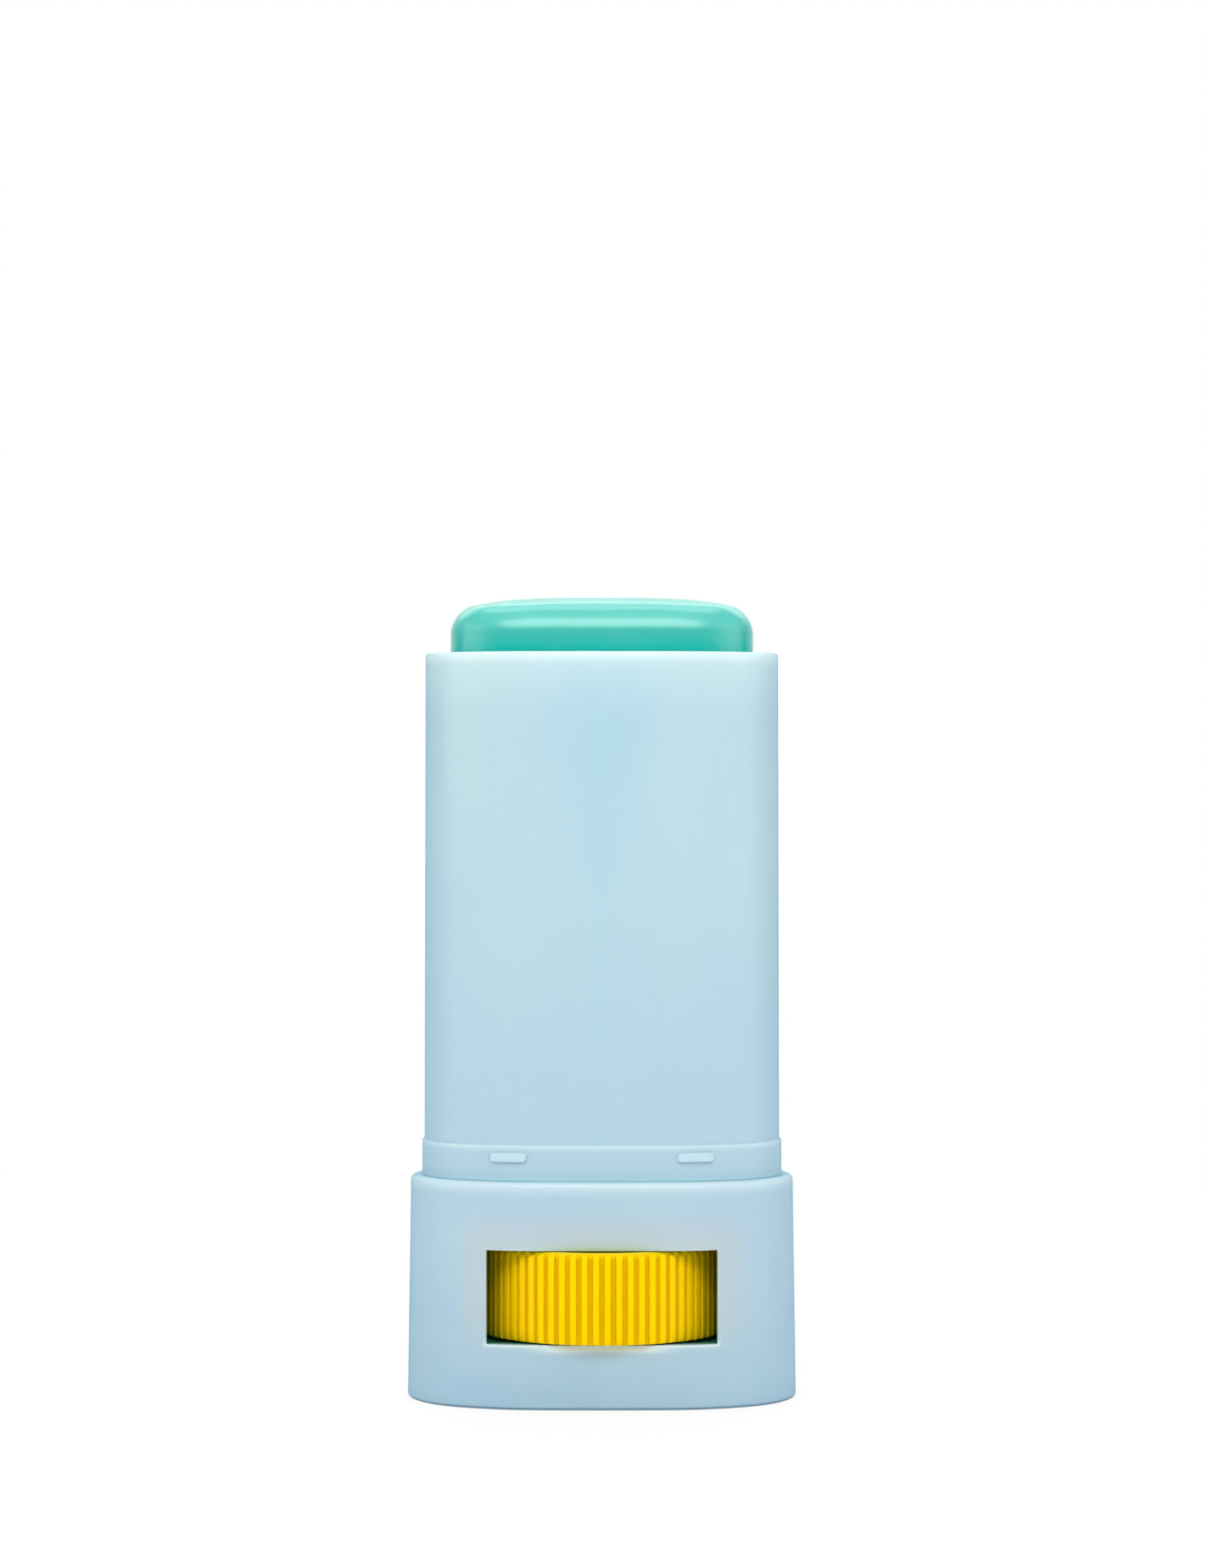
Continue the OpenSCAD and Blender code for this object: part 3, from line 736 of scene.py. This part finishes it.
class STICK_OT_wheel(bpy.types.Operator):
    """Ribbed thumb wheel: rim with grooves, disc, hub, spokes and a square socket"""

    bl_idname = "stick.wheel"
    bl_label = "Thumb wheel"

    def execute(self, context):
        s, c = sizes()
        lo, hi = boxes["thumb_wheel"]
        low = lo.z
        high = hi.z
        r = hi.x
        socket_floor = high - s.shank_h - s.end_gap
        bore_top = socket_floor - s.hub_web
        pin_r = s.pin_d / 2 + s.run_gap
        rim_in = r - s.groove_d - s.rim_wall
        disc = high - s.disc_t
        groove_floor = 0.18
        flank = 0.08
        # steps across one pitch, from a groove's middle to the next, with more on the flanks
        steps = np.array([0.0, 0.09, 0.17, 0.2, 0.22, 0.24, 0.27, 0.38, 0.5])
        steps = np.concatenate([steps, 1 - steps[-2:0:-1]])
        share = (np.arange(s.rib_count)[:, None] + steps).ravel()
        angle = share / s.rib_count * TURN - math.pi / 2
        f = np.clip((abs((share + 0.5) % 1 - 0.5) - groove_floor) / flank, 0, 1)
        groove = s.groove_d * (1 - f * f * (3 - 2 * f))
        edge = 0.08 * MM
        under_disc = 0.3 * MM
        low_mid = s.wheel_low_bevel * 0.3
        hub_r = s.hub_d / 2
        z = [
            bore_top, low + edge, low, low, low + edge, disc - under_disc, disc, disc, low + edge, low, low,
            low + low_mid, low + s.wheel_low_bevel,
        ]
        radius = [
            pin_r, pin_r, pin_r + edge, hub_r - edge, hub_r, hub_r, hub_r + under_disc,
            rim_in, rim_in, rim_in + edge, r - s.wheel_low_bevel, r - low_mid, r,
        ]
        crest = high + s.wheel_crest
        rise = np.linspace(low + s.wheel_low_bevel, crest - s.wheel_bevel, 9)[1:]
        bevel = np.radians(np.linspace(0, 90, 9))[1:]
        z = np.concatenate([z, rise, crest - s.wheel_bevel * (1 - np.sin(bevel)), [high]])
        radius = np.concatenate([radius, np.full(8, r), r - s.wheel_bevel * (1 - np.cos(bevel)), [rim_in]])
        profile = np.where(
            (radius > rim_in + 2 * edge)[:, None],
            np.minimum(radius[:, None], r - groove[None, :]),
            radius[:, None],
        )
        ring = turned(angle, z, profile)
        socket_w = s.shank_w + 2 * s.push_gap
        socket = np.concatenate([squared(angle, high, socket_w), squared(angle, socket_floor, socket_w)])
        spokes = self.spokes(s, low, disc, rim_in)
        wheel = solid("ribbed_wheel", np.concatenate([ring, socket]), islands=spokes, sharp=45.0)
        dress(wheel, wheel_material(c), "drive", "thumb_wheel")
        return {"FINISHED"}

    @staticmethod
    def spokes(s, low, disc, rim_in):
        """Boxes under the disc, from inside the hub to inside the rim, turned about the axis."""
        x = np.array([s.hub_d / 2 - s.spoke_t / 2, rim_in + s.spoke_t / 2])
        y = s.spoke_t / 2
        flat = np.array([[x[0], -y], [x[1], -y], [x[1], y], [x[0], y]])
        islands = []
        for i in range(s.spoke_count):
            a = TURN * (i + 0.5) / s.spoke_count
            xy = flat @ np.array([[math.cos(a), math.sin(a)], [-math.sin(a), math.cos(a)]])
            levels = (low + s.rim_wall, disc + s.disc_t / 2)
            islands.append(np.stack([np.column_stack([xy, np.full(4, h)]) for h in levels]))
        return islands


def thread(angle, z, s, low, high, grow=0.0):
    """Radius of the left-hand thread at each angle and height, as a table.

    The phase is z / pitch plus the share of a turn. The ridge is a trapezoid of the phase, and it
    runs out over one pitch at both ends.
    """
    half_ridge = 0.28
    flank = 0.1
    z = np.asarray(z)[:, None]
    phase = (z / s.pitch + angle[None, :] / TURN) % 1
    ridge = np.clip((half_ridge - abs(phase - 0.5)) / flank, 0, 1)
    ends = np.clip((z - low) / s.pitch, 0, 1) * np.clip((high - z) / s.pitch, 0, 1)
    return s.core_d / 2 + grow + (s.spindle_d - s.core_d) / 2 * ridge * ends


class STICK_OT_spindle(bpy.types.Operator):
    """Screw spindle: square shank, flange, neck and a left-hand thread"""

    bl_idname = "stick.spindle"
    bl_label = "Spindle"

    def execute(self, context):
        s, c = sizes()
        lo, hi = boxes["spindle"]
        flange_z = lo.z + s.shank_h
        neck_top = boxes["barrel"][0].z + s.web_t
        columns = 64
        rows_a_turn = 18
        angle = np.linspace(0, TURN, columns, endpoint=False) + TURN / columns / 2
        edge = 0.15 * MM
        shank = np.concatenate([
            squared(angle, lo.z, s.shank_w - 2 * edge),
            squared(angle, lo.z + edge, s.shank_w),
            squared(angle, flange_z, s.shank_w),
        ])
        flange = turned(
            angle,
            [flange_z, flange_z + edge, flange_z + s.flange_t - edge, flange_z + s.flange_t,
             flange_z + s.flange_t, neck_top - edge, neck_top],
            [hi.x - edge, hi.x, hi.x, hi.x - edge, s.neck_d / 2, s.neck_d / 2, s.neck_d / 2 - edge],
        )
        tip = hi.z - 0.8 * MM
        core_r = s.core_d / 2
        z = np.arange(neck_top, tip, s.pitch / rows_a_turn)
        screw = turned(angle, z, thread(angle, z, s, neck_top, tip))
        end = turned(
            angle, [tip, hi.z - 0.3 * MM, hi.z], [core_r, core_r - 0.2 * MM, core_r - 0.6 * MM]
        )
        spindle = solid("screw_spindle", np.concatenate([shank, flange, screw, end]), sharp=50.0)
        dress(spindle, natural_material(c), "drive", "spindle")
        return {"FINISHED"}


class STICK_OT_carrier(bpy.types.Operator):
    """Carrier: oval cup with a threaded nut in its middle"""

    bl_idname = "stick.carrier"
    bl_label = "Carrier"

    def execute(self, context):
        s, c = sizes()
        oval = Oval(s)
        lo, hi = boxes["carrier"]
        outer_t = oval.half_w - hi.x
        inner_t = outer_t + s.cup_wall
        edge = 0.15 * MM
        cup = oval.rings(
            [lo.z, lo.z + edge, lo.z + s.cup_h - edge, lo.z + s.cup_h, lo.z + s.cup_h, lo.z + s.plate_t],
            [outer_t + edge, outer_t, outer_t, outer_t + edge, inner_t, inner_t],
        )
        angle = np.arctan2(cup[0, :, 1] * oval.half_w / oval.half_d, cup[0, :, 0])
        nut = turned(
            angle, [lo.z + s.plate_t, hi.z - edge, hi.z], [s.nut_d / 2, s.nut_d / 2, s.nut_d / 2 - edge]
        )
        bore_rows = 57
        z = np.linspace(hi.z, lo.z, bore_rows)
        # the thread goes right through, so it runs out far beyond both ends
        far = 10 * s.pitch
        bore = turned(angle, z, thread(angle, z, s, lo.z - far, hi.z + far, s.run_gap))
        points = np.concatenate([cup, nut, bore])
        carrier = solid("carrier_cup", points, wrap=True, sharp=45.0)
        dress(carrier, natural_material(c), "lift", "carrier")
        return {"FINISHED"}


class STICK_OT_balm(bpy.types.Operator):
    """Cast balm: oval block with a domed top, a step for the cup and the spindle's channel"""

    bl_idname = "stick.balm"
    bl_label = "Balm"

    def execute(self, context):
        s, c = sizes()
        oval = Oval(s)
        lo, hi = boxes["balm"]
        carrier = boxes["carrier"]
        outer_t = oval.half_w - hi.x
        inner_t = outer_t + s.cup_wall
        cup_top = carrier[0].z + s.cup_h
        side = boxes["barrel"][1].z + s.balm_show
        channel_top = boxes["spindle"][1].z + s.lift_down + s.slide_gap
        counts = (20, 20, 16)
        body = oval.rings([lo.z, cup_top, cup_top, side], [inner_t, inner_t, outer_t, outer_t], counts=counts)
        flat = body[-1, :, :2]
        angle = np.arctan2(flat[:, 1] * oval.half_w / oval.half_d, flat[:, 0])
        core = turned(
            angle,
            [channel_top, carrier[1].z, carrier[1].z, lo.z],
            [s.channel_d / 2, s.channel_d / 2, s.nut_d / 2, s.nut_d / 2],
        )
        balm = solid("balm_block", np.concatenate([core, body, self.dome(flat, side, hi.z, s)]), sharp=50.0)
        dress(balm, balm_material(c), "lift", "balm")
        return {"FINISHED"}

    @staticmethod
    def dome(flat, side, top, s):
        """Rings over the straight side: a quarter circle along the edge, then the crown up to the middle.

        Each point keeps a share of its way from the axis to the outline. Its height is the quarter circle's,
        plus the crown's rise times one minus the share raised to a power, which is higher towards the ends.
        """
        edge_rows = 12
        crown_rows = 20
        last_ring = 0.04
        normal = outward(flat[None])[0]
        reach = (flat * normal).sum(axis=1)
        power = s.crown_faces + (s.crown_ends - s.crown_faces) * normal[:, 0] ** 2
        a = np.radians(np.linspace(0, 90, edge_rows + 1)[1:])[:, None]
        rounded = 1 - s.dome_r * (1 - np.cos(a)) / reach
        crown = rounded[-1] * np.linspace(1, last_ring, crown_rows + 1)[1:, None]
        share = np.concatenate([rounded, crown])
        edge = np.concatenate([s.dome_r * np.sin(a), np.full((len(crown), 1), s.dome_r)])
        z = side + edge + (top - side - s.dome_r) * (1 - share**power)
        return np.concatenate([flat * share[..., None], z[..., None]], axis=2)


# Soft boxes by name, with place and size in metres and power in watts.
SOFT_BOXES = (
    ("Front", (0, -0.45, 0.46), (0.75, 0.3), 3.2),
    ("Front top", (0, -0.25, 0.62), (0.6, 0.3), 0.4),
    ("Left", (-0.68, -0.18, 0.1), (0.6, 0.8), 2.0),
    ("Right", (0.68, -0.18, 0.1), (0.6, 0.8), 2.0),
    ("Overhead", (0, 0.12, 0.68), (0.6, 0.3), 1.3),
    ("Back top", (0, 0.42, 0.46), (1.0, 0.3), 1.5),
)
STICK_MIDDLE = (0, 0, 40 * MM)


def soft_box(name, place, size, power):
    """A rectangle of light at place that faces the middle of the stick."""
    lamp = bpy.data.lights.new(name, "AREA")
    lamp.shape = "RECTANGLE"
    lamp.size, lamp.size_y = size
    lamp.energy = power
    obj = bpy.data.objects.new(name, lamp)
    obj.location = place
    obj.rotation_euler = (Vector(STICK_MIDDLE) - Vector(place)).to_track_quat("-Z", "Y").to_euler()
    bpy.context.scene.collection.objects.link(obj)


class STICK_OT_stage(bpy.types.Operator):
    """Camera of the photograph, a white sweep, soft boxes and an even sky"""

    bl_idname = "stick.stage"
    bl_label = "Stage"

    def execute(self, context):
        self.camera()
        self.sweep()
        for box in SOFT_BOXES:
            soft_box(*box)
        self.sky()
        view = bpy.context.scene.view_settings
        view.view_transform = "Standard"
        return {"FINISHED"}

    @staticmethod
    def camera():
        """A level camera in front. Its distance and lens come from the perspective of the foot's edge."""
        distance = 412 * MM
        eye = 61.12 * MM
        # the axis stands at this column of the photograph, where a pixel is 0.095 mm wide
        centre_px = 634.35
        px_per_m = 1 / (0.095 * MM)
        cam = bpy.data.cameras.new("Camera")
        cam.sensor_width = 36.0
        cam.lens = cam.sensor_width * distance * px_per_m / PHOTO_H
        cam.clip_start = 0.01
        obj = bpy.data.objects.new("Camera", cam)
        obj.location = ((PHOTO_W / 2 - centre_px) / px_per_m, -distance, eye)
        obj.rotation_euler = (math.pi / 2, 0, 0)
        bpy.context.scene.collection.objects.link(obj)
        bpy.context.scene.camera = obj

    @staticmethod
    def sweep():
        """A floor that curves up into a backdrop: a line of y and z carried along x."""
        depth = 0.5
        height = 0.9
        bend = 0.25
        half = 1.2
        ahead = 1.2
        a = np.radians(np.linspace(0, 90, 25))
        y = np.concatenate([[-ahead], depth - bend + bend * np.sin(a), [depth]])
        z = np.concatenate([[0], bend - bend * np.cos(a), [height]])
        left = np.column_stack([np.full(len(y), -half), y, z])
        right = left * [-1, 1, 1]
        n = len(y)
        faces = strip(np.arange(n) + n, np.arange(n))
        mesh = bpy.data.meshes.new("sweep")
        mesh.from_pydata(np.concatenate([left, right]).tolist(), [], faces.tolist())
        mesh.polygons.foreach_set("use_smooth", np.ones(len(mesh.polygons), bool))
        obj = bpy.data.objects.new("sweep", mesh)
        bpy.context.scene.collection.objects.link(obj)
        obj.data.materials.append(paper_material())

    @staticmethod
    def sky():
        """An even grey light from all around. The camera sees plain white."""
        world = bpy.data.worlds.new("Sky")
        world.use_nodes = True
        bpy.context.scene.world = world
        tree = world.node_tree
        tree.nodes.clear()
        soft = add(tree, "Background", {"Color": (1, 1, 1, 1), "Strength": 0.09})
        white = add(tree, "Background", {"Color": (1, 1, 1, 1), "Strength": 1.0})
        seen = add(tree, "LightPath").outputs["Is Camera Ray"]
        mixed = add(tree, "MixShader", {0: seen, 1: soft.outputs[0], 2: white.outputs[0]})
        add(tree, "OutputWorld", {"Surface": mixed.outputs[0]})


def paper_material():
    """Matt white background paper. The camera sees it lifted to white, with a little of the shadow kept."""
    m = material("Background paper")
    paper = add(m.tree, "BsdfDiffuse", {"Color": (0.9, 0.9, 0.9, 1)})
    white = add(m.tree, "Emission", {"Color": (1, 1, 1, 1), "Strength": 1.0})
    seen = add(m.tree, "LightPath").outputs["Is Camera Ray"]
    away = add(m.tree, "VectorMath", {0: m.place}, operation="LENGTH").outputs["Value"]
    span = {"Value": away, "From Min": 60, "From Max": 250, "To Min": 0.8, "To Max": 1.0}
    lift = add(m.tree, "MapRange", span).outputs[0]
    lifted = add(m.tree, "Math", {0: seen, 1: lift}, operation="MULTIPLY").outputs[0]
    mixed = add(m.tree, "MixShader", {0: lifted, 1: paper.outputs[0], 2: white.outputs[0]})
    add(m.tree, "OutputMaterial", {"Surface": mixed.outputs[0]})
    return m.mat


OPERATORS = (
    STICK_OT_stage, STICK_OT_base, STICK_OT_barrel, STICK_OT_wheel,
    STICK_OT_spindle, STICK_OT_carrier, STICK_OT_balm,
)


class STICK_PT_panel(bpy.types.Panel):
    """The stick's pieces, sizes and colours"""

    bl_label = "Twist-up stick"
    bl_space_type = "VIEW_3D"
    bl_region_type = "UI"
    bl_category = "Stick"

    def draw(self, context):
        for operator in OPERATORS:
            self.layout.operator(operator.bl_idname)
        for group in (context.scene.stick_sizes, context.scene.stick_colours):
            for key in group.bl_rna.properties.keys():
                if key not in {"rna_type", "name"}:
                    self.layout.prop(group, key)


CLASSES = (StickSizes, StickColours, *OPERATORS, STICK_PT_panel)


def register():
    """Registers the classes and hangs the properties on the scene."""
    for item in CLASSES:
        bpy.utils.register_class(item)
    bpy.types.Scene.stick_sizes = bpy.props.PointerProperty(type=StickSizes)
    bpy.types.Scene.stick_colours = bpy.props.PointerProperty(type=StickColours)


def unregister():
    """Takes the properties and the classes away again."""
    del bpy.types.Scene.stick_colours
    del bpy.types.Scene.stick_sizes
    for item in reversed(CLASSES):
        bpy.utils.unregister_class(item)


def main():
    """Builds the stage and every piece."""
    register()
    for make in (
        bpy.ops.stick.stage, bpy.ops.stick.base, bpy.ops.stick.barrel, bpy.ops.stick.wheel,
        bpy.ops.stick.spindle, bpy.ops.stick.carrier, bpy.ops.stick.balm,
    ):
        make()


if __name__ == "__main__":
    main()
